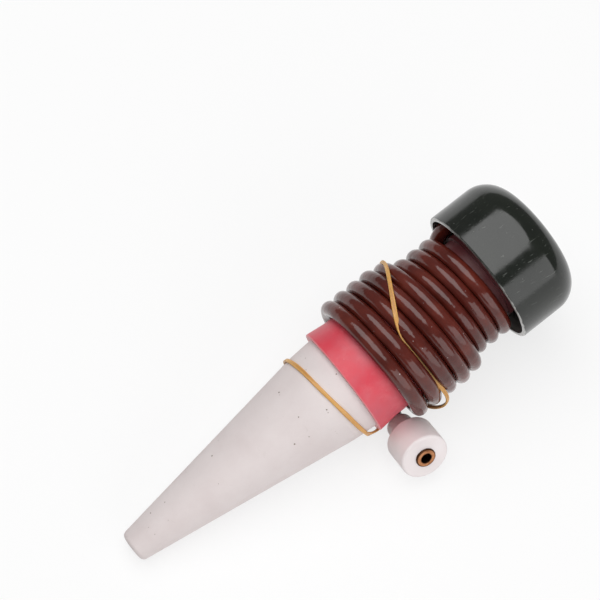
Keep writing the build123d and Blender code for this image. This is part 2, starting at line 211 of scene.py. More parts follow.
# %% [markdown]
# ## The hose
# A real hose is one piece from the nipple under the cap to the weight, so it is one curve here: out of
# the nipple, over and down beside the neck, eight turns round neck and sleeve, and into the weight's
# stem. The radius steps down where the sleeve's shoulder narrows to the neck, and the turns there sag a
# little. A person wound it by hand, so the turns lean too: each sits further towards the cap on one
# side. The lean of each turn was read off the picture at three angles. All lengths are in millimetres.

# %% The hose's route
HOSE_DIAMETER = 4.95
WIND_TURNS = 8.14
WIND_START_X = 89.7
WIND_START_DEGREES = -95.0
WIND_PITCH = 5.03
POINTS_A_TURN = 24
SLEEVE_WIND_RADIUS = 20.3
SHOULDER_X = 113.0
SHOULDER_BEFORE = 2.1
SHOULDER_LENGTH = 7.0
SHOULDER_STEP = 3.7
SAG = 0.9
SAG_REACH = 3.5
SAG_DEGREES = 200.0
WIND_SLACK = 1.006
LEAN_SPREAD = 0.09
LEAN = np.array([
    # turns, offset along the axis in millimetres
    (0.0, 0.0), (0.319, -0.15), (0.573, 0.2), (0.819, 0.55), (1.069, 0.2),
    (1.319, -0.35), (1.573, 0.5), (1.819, 1.1), (2.069, 0.3),
    (2.319, -0.5), (2.573, 1.0), (2.819, 1.75), (3.069, 0.7),
    (3.319, -0.5), (3.573, 1.25), (3.819, 1.9), (4.069, 0.8),
    (4.319, -0.55), (4.573, 1.3), (4.819, 1.85), (5.069, 0.85),
    (5.319, -0.3), (5.573, 1.25), (5.819, 1.65), (6.069, 0.9),
    (6.319, 0.0), (6.573, 1.0), (6.819, 1.3), (7.069, 0.7),
    (7.319, -0.05), (7.573, 0.8), (7.819, 1.0), (8.14, 0.3),
])


def winding(turns):
    """The hose's centre: x climbs by the pitch plus the hand's lean, the radius steps in smoothly.

    The step is s * s * (3 - 2 s) over the shoulder, and the sag is exp(-(x / reach)^2) round its middle.
    """
    degrees = WIND_START_DEGREES + 360 * turns
    x = WIND_START_X + WIND_PITCH * turns
    share = np.clip((x - SHOULDER_X + SHOULDER_BEFORE) / SHOULDER_LENGTH, 0, 1)
    radius = SLEEVE_WIND_RADIUS - SHOULDER_STEP * share * share * (3 - 2 * share)
    sag = SAG * np.exp(-((x - SHOULDER_X) / SAG_REACH) ** 2)
    radius = radius + sag * np.cos(np.radians(degrees - SAG_DEGREES))
    near = turns[:, None] + np.linspace(-LEAN_SPREAD, LEAN_SPREAD, 7)
    lean = np.interp(near, LEAN[:, 0], LEAN[:, 1]).mean(axis=1)
    return around(x + lean, radius * WIND_SLACK, degrees)


turns = np.linspace(0, WIND_TURNS, math.ceil(WIND_TURNS * POINTS_A_TURN) + 1)
wound = winding(turns)
print("winding", len(wound), "points, x", round(wound[:, 0].min(), 1), "to", round(wound[:, 0].max(), 1))

# %% [markdown]
# Both ends leave the winding along its last direction. The upper end climbs beside the neck at a fixed
# angle, bends over and comes down on the axis into the nipple. The lower end runs into the weight's stem,
# whose place and axis are those of the construction. No point lies so low that the hose would sink into
# the table.

# %% The hose's two ends
RISER_RADIUS = 18.2
BEND_X = 152.1
NIPPLE_X = 141.0
WEIGHT_BACK = np.array([86.9, -22.3, -15.0589])
WEIGHT_AXIS = np.array([-0.048114, -0.867016, 0.495951])
STEM_LENGTH = 7.6
LOWEST_CENTRE = 0.00252

first_run = wound[0] - wound[1]
first_run /= np.linalg.norm(first_run)
last_run = wound[-1] - wound[-2]
last_run /= np.linalg.norm(last_run)
riser_degrees = WIND_START_DEGREES + 360 * WIND_TURNS + 65.6
riser_points = np.array([
    wound[-1] + last_run * 4.6,
    wound[-1] + last_run * 8.7,
    around(132.36, RISER_RADIUS, riser_degrees - 20.3),
    around(135.37, RISER_RADIUS, riser_degrees - 7.2),
    around(139.67, RISER_RADIUS, riser_degrees),
    around(BEND_X, RISER_RADIUS, riser_degrees),
    (BEND_X, 0.0, 0.0),
    (NIPPLE_X, 0.0, 0.0),
])
stem_end = WEIGHT_BACK - WEIGHT_AXIS * STEM_LENGTH
tail_points = np.array([
    wound[0] + first_run * 4.6,
    wound[0] + first_run * 7.4,
    stem_end - WEIGHT_AXIS * 1.4,
    stem_end + WEIGHT_AXIS * 7.0,
])
route = in_row(np.concatenate([riser_points[::-1], wound[::-1], tail_points]))
route[:, 2] = np.maximum(route[:, 2], LOWEST_CENTRE)
print("route points", len(route))

# %% [markdown]
# Wound hose touches itself, and a soft wall gives way a little where turns press on each other. So the
# spline's thickness follows the room between each turn and its neighbours, within a few percent.

# %% The hose's thickness along the winding
PRESSED_SHARE, SWOLLEN_SHARE = 0.93, 1.05
RISER_SHARE, TAIL_SHARE = 0.97, 0.94


def room_beside(turns):
    """The smaller distance from each place on the winding to the turn before it and the turn after it."""
    here = winding(turns)
    before = np.linalg.norm(here - winding(turns - 1), axis=1)
    after = np.linalg.norm(here - winding(turns + 1), axis=1)
    before[turns < 1] = np.inf
    after[turns > WIND_TURNS - 1] = np.inf
    return np.minimum(before, after)


room = room_beside(turns)
thickness_share = np.clip((room - 0.03) / HOSE_DIAMETER, PRESSED_SHARE, SWOLLEN_SHARE)
thickness_share = np.convolve(np.pad(thickness_share, 2, mode="edge"), np.ones(5) / 5, mode="valid")
print("room beside turns, mm", round(room.min(), 2), "to", round(np.median(room), 2))
route_thickness = np.ones(len(route))
route_thickness[len(riser_points):len(riser_points) + len(turns)] = thickness_share[::-1]
route_thickness[:len(riser_points)] = RISER_SHARE
route_thickness[-len(tail_points):] = TAIL_SHARE

# %% [markdown]
# A NURBS spline uses the route's points as its control points and rounds the corners between them. Each
# point carries the hose's radius there in metres, and the round bevel is one metre deep times that
# radius. So the curve's own box, which grows by the points' radii, stays true.

# %% Hose as a curve
curve = bpy.data.curves.new("wound_hose", "CURVE")
curve.dimensions = "3D"
spline = curve.splines.new("NURBS")
spline.points.add(len(route) - 1)
spline.points.foreach_set("co", np.concatenate([route, np.ones((len(route), 1))], axis=1).ravel())
spline.points.foreach_set("radius", route_thickness * HOSE_DIAMETER / 2000)
spline.order_u = 3
spline.use_endpoint_u = True
spline.resolution_u = 6
curve.bevel_depth = 1.0
curve.bevel_resolution = 8
curve.use_fill_caps = True
hose = bpy.data.objects.new("wound_hose", curve)
bpy.context.scene.collection.objects.link(hose)
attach(hose, "spike")
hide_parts("hose_first_turn", "hose_coil", "hose_riser", "hose_tail")

# %% [markdown]
# ## The rubber bands
# One thin latex band holds the winding and a second one lies round the cone. Each is a flat ribbon cut
# from a tube, so its section is a rounded rectangle. It is carried along a closed smooth line, flat side
# towards what it lies on, with a slow twist. One function makes both bands from listed points.

# %% A ribbon along a closed line
BAND_WIDTH, BAND_THICKNESS = 1.3, 0.75


def closed_spline(points, samples):
    """Closed cubic B-spline: the uniform basis weights of four neighbouring points, at even steps."""
    step = np.arange(samples) * len(points) / samples
    first = np.floor(step).astype(int)
    t = (step - first)[:, None]
    weights = [(1 - t) ** 3, 3 * t ** 3 - 6 * t ** 2 + 4, -3 * t ** 3 + 3 * t ** 2 + 3 * t + 1, t ** 3]
    return sum(w * points[(first + k - 1) % len(points)] for k, w in enumerate(weights)) / 6


def ribbon(name, points, outward, samples=480, sides=20):
    """A rounded rectangle |a/w|^4 + |b/t|^4 = 1 carried along a closed line, its b side turned outwards.

    The twist is a slow wave of a few degrees, and the width changes by a few percent along the line.
    """
    line = closed_spline(points, samples)
    ahead = np.roll(line, -1, axis=0) - np.roll(line, 1, axis=0)
    ahead /= np.linalg.norm(ahead, axis=1)[:, None]
    out = closed_spline(outward, samples)
    out -= ahead * (out * ahead).sum(axis=1)[:, None]
    out /= np.linalg.norm(out, axis=1)[:, None]
    side = np.cross(ahead, out)
    along = np.linspace(0, 2 * np.pi, samples, endpoint=False)
    twist = 0.22 * np.sin(3 * along + 0.6) + 0.1 * np.sin(7 * along)
    out, side = (out * np.cos(twist)[:, None] + side * np.sin(twist)[:, None],
                 side * np.cos(twist)[:, None] - out * np.sin(twist)[:, None])
    swell = 1 + 0.07 * np.sin(5 * along + 1.1) + 0.04 * np.sin(11 * along)
    turn = np.linspace(0, 2 * np.pi, sides, endpoint=False)
    across = np.sign(np.cos(turn)) * np.abs(np.cos(turn)) ** 0.5 * BAND_WIDTH / 2
    height = np.sign(np.sin(turn)) * np.abs(np.sin(turn)) ** 0.5 * BAND_THICKNESS / 2
    grid = (line[:, None] + side[:, None] * (across * swell[:, None])[..., None]
            + out[:, None] * height[None, :, None])
    row = np.arange(samples)[:, None] * sides
    next_row = (np.arange(samples)[:, None] + 1) % samples * sides
    column = np.arange(sides)[None]
    next_column = (column + 1) % sides
    faces = np.stack([row + column, next_row + column, next_row + next_column, row + next_column], -1)
    mesh = bpy.data.meshes.new(name)
    mesh.from_pydata(in_row(grid.reshape(-1, 3)), [], faces.reshape(-1, 4).tolist())
    mesh.shade_smooth()
    length = np.linalg.norm(np.roll(line, -1, axis=0) - line, axis=1)
    run = np.concatenate([[0], np.cumsum(length)])[:, None]
    start, end = run[:-1] + 0 * column, run[1:] + 0 * column
    u = np.stack([start, end, end, start], axis=-1)
    v = np.stack([column, column, column + 1, column + 1], axis=-1) / sides + 0 * row[..., None]
    layer = mesh.uv_layers.new(name="along_band")
    layer.uv.foreach_set("vector", np.stack([u / 10, v], axis=-1).astype(np.float32).ravel())
    piece = bpy.data.objects.new(name, mesh)
    bpy.context.scene.collection.objects.link(piece)
    print(name, "length", round(length.sum(), 1), "mm")
    return piece


def from_axis(points):
    """Unit vectors straight out from the spike's axis at each point."""
    out = points * (0, 1, 1)
    return out / np.linalg.norm(out, axis=1)[:, None]


# %% [markdown]
# The upper band slants over four turns, slips into the groove between the second and the third turn, and
# hangs in a loose loop on the weight's side before it goes back underneath.

# %% Band over the winding
coil_band_points = np.array([
    # x, radius, degrees
    (112.6, 21.9, 8), (112.5, 22.0, 25), (112.3, 22.45, 42), (110.6, 23.1, 57), (108.0, 23.3, 71),
    (105.2, 23.4, 84), (102.4, 23.1, 96), (101.2, 21.2, 105), (101.15, 19.7, 115), (101.25, 18.9, 128),
    (101.5, 18.9, 142), (101.8, 19.1, 156), (102.1, 20.7, 168), (102.6, 23.2, 179), (102.1, 24.3, 189),
    (100.5, 24.6, 199), (98.4, 24.1, 210), (97.0, 23.6, 224), (96.8, 23.4, 241), (98.2, 23.4, 258),
    (100.2, 23.4, 273), (102.6, 23.4, 288), (105.0, 23.3, 303), (107.4, 23.1, 318), (109.6, 22.8, 333),
    (111.6, 22.2, 351),
])
coil_band_line = around(*coil_band_points.T)
coil_band = ribbon("rubber_band_on_hose", coil_band_line, from_axis(coil_band_line))
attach(coil_band, "spike")
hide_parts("coil_band")

# %% [markdown]
# The lower band lies round the cone just below the sleeve. On the weight's side it bends off the cone,
# slips over the sleeve's lip behind the weight's stem, and comes back to the cone's underside.

# %% Band round the cone
cone_band_points = np.array([
    # x, radius, degrees
    (71.1, 16.3, 322), (70.6, 16.25, 340), (70.6, 16.25, 358), (70.8, 16.3, 16), (71.3, 16.3, 33),
    (71.8, 16.3, 50), (72.3, 16.3, 66), (72.6, 16.3, 82), (73.0, 16.35, 98), (73.6, 16.4, 113),
    (74.2, 16.4, 128), (74.8, 16.45, 142), (75.3, 16.45, 156), (75.9, 16.5, 170), (76.4, 16.6, 183),
    (76.8, 16.9, 194), (77.5, 17.4, 203), (78.9, 18.2, 210), (80.8, 19.2, 217), (82.1, 19.8, 226),
    (82.2, 19.9, 237), (80.6, 19.5, 248), (78.2, 18.6, 258), (76.2, 17.7, 267), (74.6, 17.0, 277),
    (73.2, 16.7, 289), (72.0, 16.45, 305),
])
cone_band_line = around(*cone_band_points.T)
cone_band = ribbon("rubber_band_on_cone", cone_band_line, from_axis(cone_band_line))
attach(cone_band, "spike")
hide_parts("cone_band")

# %% [markdown]
# ## Three small graphs that several finishes share
# Wear, painted light and colour follow the object: the lip of the sleeve, the painted highlight on the
# rim of the cap, the painted shade round the eyelet.
# Two graphs measure how far a point lies along the spike, and how far out from a line. The third
# scatters round specks, which serve as pits, lint and dust.

# %% Distances and specks
# Stretches over which a finish changes, in millimetres along the spike from the cone's tip
SLEEVE_LIP = (80.55, 81.0)
BARE_NECK = (124.8, 127.2)
CAP_RIM = (133.45, 133.75)
CAP_MOUTH = (134.5, 139.0)
CAP_INNER_RADIUS = 21.8


def along_axis(tree, place):
    """Millimetres along the spike from its tip: the place's dot product with the axis, less the tip's."""
    run = add(tree, "ShaderNodeVectorMath", {0: place, 1: SPIKE_AXIS}, operation="DOT_PRODUCT")
    start = float(np.dot(TIP_PLACE, SPIKE_AXIS))
    return add(tree, "ShaderNodeMath", {0: run.outputs["Value"], 1: 1000.0, 2: -1000 * start},
               operation="MULTIPLY_ADD").outputs[0]


def from_line(tree, place, point, axis):
    """Millimetres out from a line: the length of the cross product of (place - point) with its axis."""
    offset = add(tree, "ShaderNodeVectorMath", {0: place, 1: Vector(point)}, operation="SUBTRACT")
    across = add(tree, "ShaderNodeVectorMath", {0: offset.outputs[0], 1: Vector(axis)},
                 operation="CROSS_PRODUCT")
    out = add(tree, "ShaderNodeVectorMath", {0: across.outputs[0]}, operation="LENGTH")
    return add(tree, "ShaderNodeMath", {0: out.outputs["Value"], 1: 1000.0},
               operation="MULTIPLY").outputs[0]


def specks(tree, place, spacing, channel, rarest, largest, edge, strength=1.0):
    """A mask of round specks: the hearts of those Voronoi cells whose random value is above `rarest`.

    A heart's size grows with that value up to `largest`, both counted in cells, and fades over `edge`.
    """
    cells = add(tree, "ShaderNodeTexVoronoi", {"Vector": place, "Scale": per(spacing)})
    chance = add(tree, "ShaderNodeSeparateColor", {"Color": cells.outputs["Color"]})
    size = add(tree, "ShaderNodeMapRange",
               {"Value": chance.outputs[channel], "From Min": rarest, "From Max": 1.0, "To Max": largest})
    inside = add(tree, "ShaderNodeMath", {0: size.outputs[0], 1: cells.outputs["Distance"]},
                 operation="SUBTRACT")
    return add(tree, "ShaderNodeMapRange",
               {"Value": inside.outputs[0], "From Max": edge, "To Max": strength}).outputs[0]


print("the cap's rim starts", CAP_RIM[0], "mm from the tip")

# %% [markdown]
# ## Finish of the cone: fired clay without glaze
# The cone must let water through, so its clay is fired low and left bare. Slip casting gives it a matt
# chalky skin with faint clouds of colour, a fine grain, small dark pits where air sat against the mould,
# and grey smudges from handling.

# %% Fired clay
def fired_clay():
    # Slip-cast clay, bisque fired: no gloss at all, so light falls off softly and only grain and pits
    # break it up
    material, tree, place = finish_named("fired_clay")
    clouds = add(tree, "ShaderNodeTexNoise",
                 {"Vector": place, "Scale": per(16), "Detail": 5.0, "Roughness": 0.6})
    colour = add(tree, "ShaderNodeValToRGB", {"Fac": clouds.outputs["Fac"]},
                 stops=[(0.3, "#D6CBCA"), (0.5, "#DBD1D0"), (0.7, "#DFD6D5")])
    smudges = add(tree, "ShaderNodeTexNoise",
                  {"Vector": place, "Scale": per(5), "Detail": 6.0, "Roughness": 0.7, "Distortion": 1.2})
    smudge = add(tree, "ShaderNodeMapRange",
                 {"Value": smudges.outputs["Fac"], "From Min": 0.63, "From Max": 0.78, "To Max": 0.5})
    smudged = add(tree, "ShaderNodeMix",
                  {0: smudge.outputs[0], 6: colour.outputs["Color"], 7: linear("#BFB4B0")}, data_type="RGBA")
    pits = specks(tree, place, 2.6, "Red", rarest=0.35, largest=0.13, edge=0.05)
    pitted = add(tree, "ShaderNodeMix", {0: pits, 6: smudged.outputs[2], 7: linear("#8A7C70")},
                 data_type="RGBA")
    grain = add(tree, "ShaderNodeTexNoise",
                {"Vector": place, "Scale": per(0.7), "Detail": 3.0, "Roughness": 0.6})
    dust = add(tree, "ShaderNodeBump", {"Height": grain.outputs["Fac"], "Strength": 0.35, "Distance": 0.0001})
    swell = add(tree, "ShaderNodeBump", {"Height": clouds.outputs["Fac"], "Strength": 0.4,
                                         "Distance": 0.0006, "Normal": dust.outputs[0]})
    dents = add(tree, "ShaderNodeBump", {"Height": pits, "Strength": 0.8, "Distance": 0.00015,
                                         "Normal": swell.outputs[0]}, invert=True)
    roughness = add(tree, "ShaderNodeMapRange",
                    {"Value": grain.outputs["Fac"], "To Min": 0.74, "To Max": 0.92})
    shader = add(tree, "ShaderNodeBsdfPrincipled",
                 {"Base Color": pitted.outputs[2], "Roughness": roughness.outputs[0],
                  "Specular IOR Level": 0.3, "Normal": dents.outputs[0]})
    add(tree, "ShaderNodeOutputMaterial", {"Surface": shader.outputs[0]})
    return material


clay = fired_clay()
print(clay.name, "has", len(clay.node_tree.nodes), "nodes")

# %% [markdown]
# ## Finish of the sleeve: dip-moulded soft PVC
# The red sleeve is made by dipping a former into liquid PVC. The skin is satin, lets a little light in,
# and its colour is slightly uneven where it is thicker; lighter pink patches on it are painted sheen. Pale
# flecks of lint cling to it, its thin lip is paler because the film ends there, and its bare neck beside
# the cap is painted dark maroon, as painted shade under the cap.

# %% Soft PVC
def dipped_soft_pvc():
    # Plasticised PVC from a dip mould: satin sheen, slight glow under the skin, cloudy colour
    material, tree, place = finish_named("dipped_soft_pvc")
    clouds = add(tree, "ShaderNodeTexNoise",
                 {"Vector": place, "Scale": per(11), "Detail": 3.0, "Roughness": 0.5})
    colour = add(tree, "ShaderNodeValToRGB", {"Fac": clouds.outputs["Fac"]},
                 stops=[(0.3, "#C95160"), (0.48, "#D04E5C"), (0.62, "#D64050"), (0.75, "#D24656")])
    patches = add(tree, "ShaderNodeTexNoise",
                  {"Vector": place, "Scale": per(3.5), "Detail": 6.0, "Roughness": 0.65})
    # Lighter pink patches are painted sheen, standing in for the satin skin's reflections
    bloom_and_sheen = add(tree, "ShaderNodeMapRange",
                {"Value": patches.outputs["Fac"], "From Min": 0.5, "From Max": 0.75, "To Max": 0.3})
    sheened = add(tree, "ShaderNodeMix",
                  {0: bloom_and_sheen.outputs[0], 6: colour.outputs["Color"], 7: linear("#DE7E86")}, data_type="RGBA")
    along = along_axis(tree, place)
    lip = add(tree, "ShaderNodeMapRange", {"Value": along, "From Min": SLEEVE_LIP[0],
                                           "From Max": SLEEVE_LIP[1], "To Min": 0.55, "To Max": 0.0})
    lipped = add(tree, "ShaderNodeMix", {0: lip.outputs[0], 6: sheened.outputs[2], 7: linear("#E3A9AC")},
                 data_type="RGBA")
    # The neck beside the cap is painted dark maroon: painted shade under the cap
    neck = add(tree, "ShaderNodeMapRange",
               {"Value": along, "From Min": BARE_NECK[0], "From Max": BARE_NECK[1]})
    neck_shaded = add(tree, "ShaderNodeMix", {0: neck.outputs[0], 6: lipped.outputs[2], 7: linear("#5C2428")},
                 data_type="RGBA")
    lint = specks(tree, place, 1.9, "Green", rarest=0.55, largest=0.08, edge=0.04, strength=0.5)
    flecked = add(tree, "ShaderNodeMix", {0: lint, 6: neck_shaded.outputs[2], 7: linear("#EFC9CB")},
                  data_type="RGBA")
    skin = add(tree, "ShaderNodeBump",
               {"Height": patches.outputs["Fac"], "Strength": 0.3, "Distance": 0.00025})
    roughness = add(tree, "ShaderNodeMapRange",
                    {"Value": patches.outputs["Fac"], "To Min": 0.34, "To Max": 0.5})
    shader = add(tree, "ShaderNodeBsdfPrincipled", {
        "Base Color": flecked.outputs[2], "Roughness": roughness.outputs[0], "Normal": skin.outputs[0],
        "Subsurface Weight": 0.12, "Subsurface Radius": (1.0, 0.35, 0.25), "Subsurface Scale": 0.0012})
    add(tree, "ShaderNodeOutputMaterial", {"Surface": shader.outputs[0]})
    return material


sleeve_skin = dipped_soft_pvc()
print(sleeve_skin.name, "has", len(sleeve_skin.node_tree.nodes), "nodes")

# %% [markdown]
# ## Finish of the hose: extruded PVC
# The hose comes out of a round die, so its skin is smooth and shiny with only a slow waviness. That
# waviness breaks the lamps' images into the long soft streaks of the picture. Dust gathers on it.

# %% Extruded PVC
def extruded_pvc():
    # Flexible PVC tube straight from the die: dark brown-red, glossy, faintly wavy, with clinging dust
    material, tree, place = finish_named("extruded_pvc")
    clouds = add(tree, "ShaderNodeTexNoise", {"Vector": place, "Scale": per(9), "Detail": 3.0})
    colour = add(tree, "ShaderNodeValToRGB", {"Fac": clouds.outputs["Fac"]},
                 stops=[(0.3, "#471912"), (0.5, "#552019"), (0.7, "#64291F")])
    dust = specks(tree, place, 1.5, "Blue", rarest=0.6, largest=0.13, edge=0.05, strength=0.8)
    dusty = add(tree, "ShaderNodeMix", {0: dust, 6: colour.outputs["Color"], 7: linear("#CFC2C0")},
                data_type="RGBA")
    waves = add(tree, "ShaderNodeTexNoise",
                {"Vector": place, "Scale": per(5), "Detail": 2.0, "Roughness": 0.45})
    slow = add(tree, "ShaderNodeBump", {"Height": waves.outputs["Fac"], "Strength": 0.5, "Distance": 0.0007})
    film = add(tree, "ShaderNodeTexNoise",
               {"Vector": place, "Scale": per(2.4), "Detail": 5.0, "Roughness": 0.65})
    roughness = add(tree, "ShaderNodeMapRange", {"Value": film.outputs["Fac"], "From Min": 0.3,
                                                 "From Max": 0.75, "To Min": 0.07, "To Max": 0.2})
    shader = add(tree, "ShaderNodeBsdfPrincipled",
                 {"Base Color": dusty.outputs[2], "Roughness": roughness.outputs[0],
                  "Normal": slow.outputs[0], "IOR": 1.5})
    add(tree, "ShaderNodeOutputMaterial", {"Surface": shader.outputs[0]})
    return material


hose_skin = extruded_pvc()
print(hose_skin.name, "has", len(hose_skin.node_tree.nodes), "nodes")

# %% [markdown]
# ## Finish of the cap: moulded plastic
# The cap is injection moulded in a polished mould. The faint orange peel of the shrunk skin bends the
# lamps' images, and handling leaves hair-fine scratches and dust. A painted highlight whitens the trimmed
# edge, most on the cap's two flanks. Inside, the mouth of the skirt is painted paler: a painted reflection
# of the white table.

# %% Moulded plastic
def moulded_plastic():
    # Dark green polypropylene from a polished mould: deep gloss, orange peel, scratches, painted rim
    # highlight
    material, tree, place = finish_named("moulded_plastic")
    clouds = add(tree, "ShaderNodeTexNoise", {"Vector": place, "Scale": per(18), "Detail": 3.0})
    colour = add(tree, "ShaderNodeValToRGB", {"Fac": clouds.outputs["Fac"]},
                 stops=[(0.3, "#121612"), (0.55, "#171B16"), (0.75, "#1C211A")])
    dust = specks(tree, place, 1.7, "Red", rarest=0.6, largest=0.09, edge=0.04, strength=0.6)
    dusty = add(tree, "ShaderNodeMix", {0: dust, 6: colour.outputs["Color"], 7: linear("#A9ABA4")},
                data_type="RGBA")
    stretch = add(tree, "ShaderNodeMapping", {"Vector": place, "Rotation": (0.5, 0.2, 0.7),
                                              "Scale": (per(14), per(0.5), per(0.5))})
    hairs = add(tree, "ShaderNodeTexNoise", {"Vector": stretch.outputs[0], "Scale": 1.0, "Detail": 2.0})
    scratch = add(tree, "ShaderNodeMapRange",
                  {"Value": hairs.outputs["Fac"], "From Min": 0.66, "From Max": 0.74})
    scuff = add(tree, "ShaderNodeMath", {0: scratch.outputs[0], 1: 0.22}, operation="MULTIPLY")
    scuffed = add(tree, "ShaderNodeMix", {0: scuff.outputs[0], 6: dusty.outputs[2], 7: linear("#8A8F88")},
                  data_type="RGBA")
    along = along_axis(tree, place)
    ragged = add(tree, "ShaderNodeTexNoise", {"Vector": place, "Scale": per(2.5), "Detail": 4.0})
    edge = add(tree, "ShaderNodeMath", {0: ragged.outputs["Fac"], 1: 0.9, 2: along},
               operation="MULTIPLY_ADD")
    # The rim's edge is painted near white: a painted highlight, strongest on the cap's two flanks
    rim = add(tree, "ShaderNodeMapRange", {"Value": edge.outputs[0], "From Min": CAP_RIM[0],
                                           "From Max": CAP_RIM[1], "To Min": 1.0, "To Max": 0.0})
    sides = add(tree, "ShaderNodeSeparateXYZ", {0: place})
    aside = add(tree, "ShaderNodeMath", {0: sides.outputs["Y"]}, operation="ABSOLUTE")
    side_highlight = add(tree, "ShaderNodeMapRange", {"Value": aside.outputs[0], "From Min": 0.010,
                                               "From Max": 0.019, "To Min": 0.12, "To Max": 0.85})
    rim_highlight = add(tree, "ShaderNodeMath", {0: rim.outputs[0], 1: side_highlight.outputs[0]}, operation="MULTIPLY")
    rim_highlighted = add(tree, "ShaderNodeMix",
                   {0: rim_highlight.outputs[0], 6: scuffed.outputs[2], 7: linear("#D9DAD6")}, data_type="RGBA")
    # The inside of the skirt's mouth is painted pale grey: a painted reflection of the white table
    radius = from_line(tree, place, TIP_PLACE, SPIKE_AXIS)
    inner = add(tree, "ShaderNodeMath", {0: radius, 1: CAP_INNER_RADIUS}, operation="LESS_THAN")
    mouth = add(tree, "ShaderNodeMapRange", {"Value": along, "From Min": CAP_MOUTH[0],
                                             "From Max": CAP_MOUTH[1], "To Min": 0.9, "To Max": 0.0})
    mouth_reflection = add(tree, "ShaderNodeMath", {0: inner.outputs[0], 1: mouth.outputs[0]}, operation="MULTIPLY")
    mouth_reflected = add(tree, "ShaderNodeMix", {0: mouth_reflection.outputs[0], 6: rim_highlighted.outputs[2], 7: linear("#A4A6A3")},
                data_type="RGBA")
    peel = add(tree, "ShaderNodeTexNoise", {"Vector": place, "Scale": per(2.2), "Detail": 2.0})
    skin = add(tree, "ShaderNodeBump", {"Height": peel.outputs["Fac"], "Strength": 0.12, "Distance": 0.0001})
    scored = add(tree, "ShaderNodeBump", {"Height": scratch.outputs[0], "Strength": 0.3,
                                          "Distance": 0.00003, "Normal": skin.outputs[0]}, invert=True)
    film = add(tree, "ShaderNodeTexNoise",
               {"Vector": place, "Scale": per(7), "Detail": 6.0, "Roughness": 0.7})
    roughness = add(tree, "ShaderNodeMapRange", {"Value": film.outputs["Fac"], "From Min": 0.35,
                                                 "From Max": 0.75, "To Min": 0.1, "To Max": 0.26})
    shader = add(tree, "ShaderNodeBsdfPrincipled",
                 {"Base Color": mouth_reflected.outputs[2], "IOR": 1.55, "Roughness": roughness.outputs[0],
                  "Normal": scored.outputs[0]})
    add(tree, "ShaderNodeOutputMaterial", {"Surface": shader.outputs[0]})
    return material


cap_skin = moulded_plastic()
print(cap_skin.name, "has", len(cap_skin.node_tree.nodes), "nodes")

# %% [markdown]
# ## Finishes of the weight and its eyelet
# The weight is pressed from fine white clay and fired hard, so it is smoother than the cone. Its eyelet
# is punched and rolled from copper sheet: warm metal, with painted brown shade at its rim and in its hole.

# %% Pressed clay and rolled copper
EYELET_AXIS = (-0.143534, -0.867016, 0.477159)
EYELET_PLACE = (0.00928131, -0.0298864, 0.0111225)


def pressed_clay():
    # Fine dry-pressed clay, fired hard: a smooth eggshell skin with only the faintest clouds and specks
    material, tree, place = finish_named("pressed_clay")
    clouds = add(tree, "ShaderNodeTexNoise", {"Vector": place, "Scale": per(8), "Detail": 4.0})
    colour = add(tree, "ShaderNodeValToRGB", {"Fac": clouds.outputs["Fac"]},
                 stops=[(0.3, "#E6DCDC"), (0.55, "#ECE3E3"), (0.75, "#EFE8E8")])
    grit = specks(tree, place, 1.8, "Red", rarest=0.7, largest=0.07, edge=0.04, strength=0.5)
    gritty = add(tree, "ShaderNodeMix", {0: grit, 6: colour.outputs["Color"], 7: linear("#A8958E")},
                 data_type="RGBA")
    grain = add(tree, "ShaderNodeTexNoise", {"Vector": place, "Scale": per(0.9), "Detail": 2.0})
    skin = add(tree, "ShaderNodeBump",
               {"Height": grain.outputs["Fac"], "Strength": 0.15, "Distance": 0.00005})
    roughness = add(tree, "ShaderNodeMapRange",
                    {"Value": clouds.outputs["Fac"], "To Min": 0.48, "To Max": 0.66})
    shader = add(tree, "ShaderNodeBsdfPrincipled",
                 {"Base Color": gritty.outputs[2], "Roughness": roughness.outputs[0],
                  "Normal": skin.outputs[0]})
    add(tree, "ShaderNodeOutputMaterial", {"Surface": shader.outputs[0]})
    return material


def rolled_copper():
    # Copper alloy sheet, punched and rolled: warm metal with drawn marks, painted brown shade at rim and hole
    material, tree, place = finish_named("rolled_copper")
    patina = add(tree, "ShaderNodeTexNoise",
                 {"Vector": place, "Scale": per(1.6), "Detail": 5.0, "Roughness": 0.6})
    colour = add(tree, "ShaderNodeValToRGB", {"Fac": patina.outputs["Fac"]},
                 stops=[(0.3, "#8A5C3E"), (0.5, "#B98059"), (0.7, "#C9936B")])
    ring = from_line(tree, place, EYELET_PLACE, EYELET_AXIS)
    # Dark brown at the eyelet's outer edge and in its hole is painted shade
    ragged = add(tree, "ShaderNodeMath", {0: patina.outputs["Fac"], 1: 0.5, 2: ring},
                 operation="MULTIPLY_ADD")
    rim_shade = add(tree, "ShaderNodeMapRange",
                  {"Value": ragged.outputs[0], "From Min": 2.95, "From Max": 3.3})
    hole_shade = add(tree, "ShaderNodeMapRange", {"Value": ragged.outputs[0], "From Min": 2.0,
                                              "From Max": 2.3, "To Min": 1.0, "To Max": 0.0})
    painted_shade = add(tree, "ShaderNodeMath", {0: rim_shade.outputs[0], 1: hole_shade.outputs[0]}, operation="MAXIMUM")
    shaded = add(tree, "ShaderNodeMix", {0: painted_shade.outputs[0], 6: colour.outputs["Color"], 7: linear("#4A2F20")},
               data_type="RGBA")
    roughness = add(tree, "ShaderNodeMapRange", {"Value": patina.outputs["Fac"], "From Min": 0.3,
                                                 "From Max": 0.7, "To Min": 0.55, "To Max": 0.32})
    skin = add(tree, "ShaderNodeBump",
               {"Height": patina.outputs["Fac"], "Strength": 0.2, "Distance": 0.00005})
    shader = add(tree, "ShaderNodeBsdfPrincipled",
                 {"Base Color": shaded.outputs[2], "Metallic": 1.0, "Roughness": roughness.outputs[0],
                  "Normal": skin.outputs[0]})
    add(tree, "ShaderNodeOutputMaterial", {"Surface": shader.outputs[0]})
    return material


